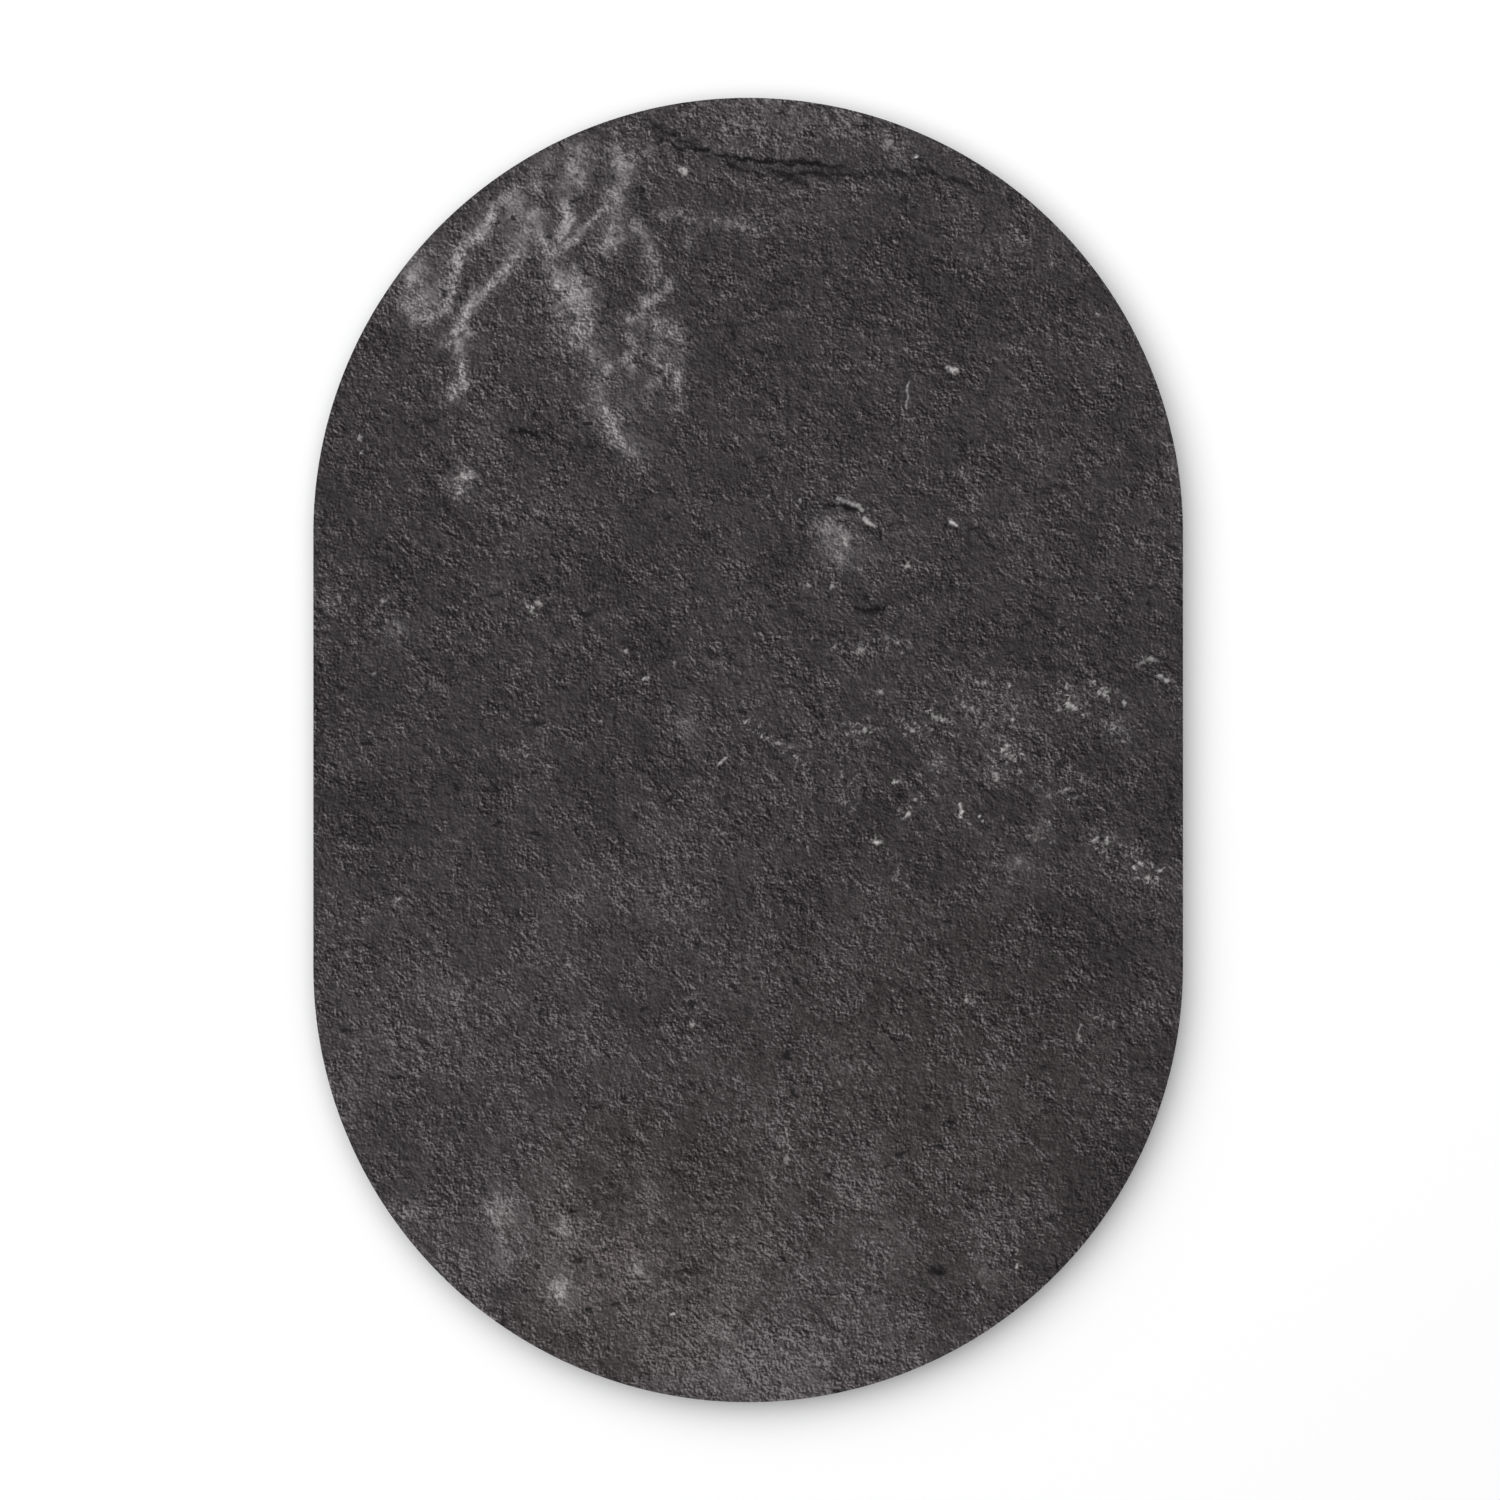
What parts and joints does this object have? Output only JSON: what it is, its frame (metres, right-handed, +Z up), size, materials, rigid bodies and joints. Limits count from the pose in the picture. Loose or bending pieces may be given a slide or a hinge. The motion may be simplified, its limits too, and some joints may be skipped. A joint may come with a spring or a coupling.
{
  "type": "oval stone wall panel",
  "caption": "Flat oval wall panel with a riven dark basalt face on an aluminium composite sheet, hung out of sight on interlocking Z rails with screws and wall plugs.",
  "frame": {"origin": "middle of the wall rail's back face, on the surface of the wall", "axes": "+Z up along the panel's long side, +Y into the wall, -Y out of the stone face, +X to the right of someone who faces the panel"},
  "size_m": [0.4, 0.0519, 0.6],
  "materials": {
    "riven_basalt": "matte",
    "glass_and_resin": "matte",
    "primed_aluminium": "satin",
    "black_polyethylene": "matte",
    "mill_aluminium": "satin",
    "anodised_aluminium": "satin",
    "acrylic_foam": "matte",
    "black_rubber": "matte",
    "zinc_plated_steel": "satin",
    "grey_nylon": "satin"
  },
  "bodies": {
    "wall_side": {"wall_rail": "anodised_aluminium", "washer_left": "zinc_plated_steel", "washer_middle": "zinc_plated_steel", "washer_right": "zinc_plated_steel", "wall_screw_left": "zinc_plated_steel", "wall_screw_middle": "zinc_plated_steel", "wall_screw_right": "zinc_plated_steel", "wall_plug_left": "grey_nylon", "wall_plug_middle": "grey_nylon", "wall_plug_right": "grey_nylon"},
    "panel": {"stone_face": "riven_basalt", "glass_backing": "glass_and_resin", "front_skin": "primed_aluminium", "core": "black_polyethylene", "rear_skin": "mill_aluminium", "hook_rail": "anodised_aluminium", "hook_rail_tape": "acrylic_foam", "spacer_rail": "anodised_aluminium", "spacer_rail_tape": "acrylic_foam", "bumper_left": "black_rubber", "bumper_right": "black_rubber"}
  },
  "joints": [
    {"name": "panel_lift", "type": "slide", "parent": "wall_side", "child": "panel", "axis": [0, 0, 1], "range_m": [0, 0.012]}
  ]
}
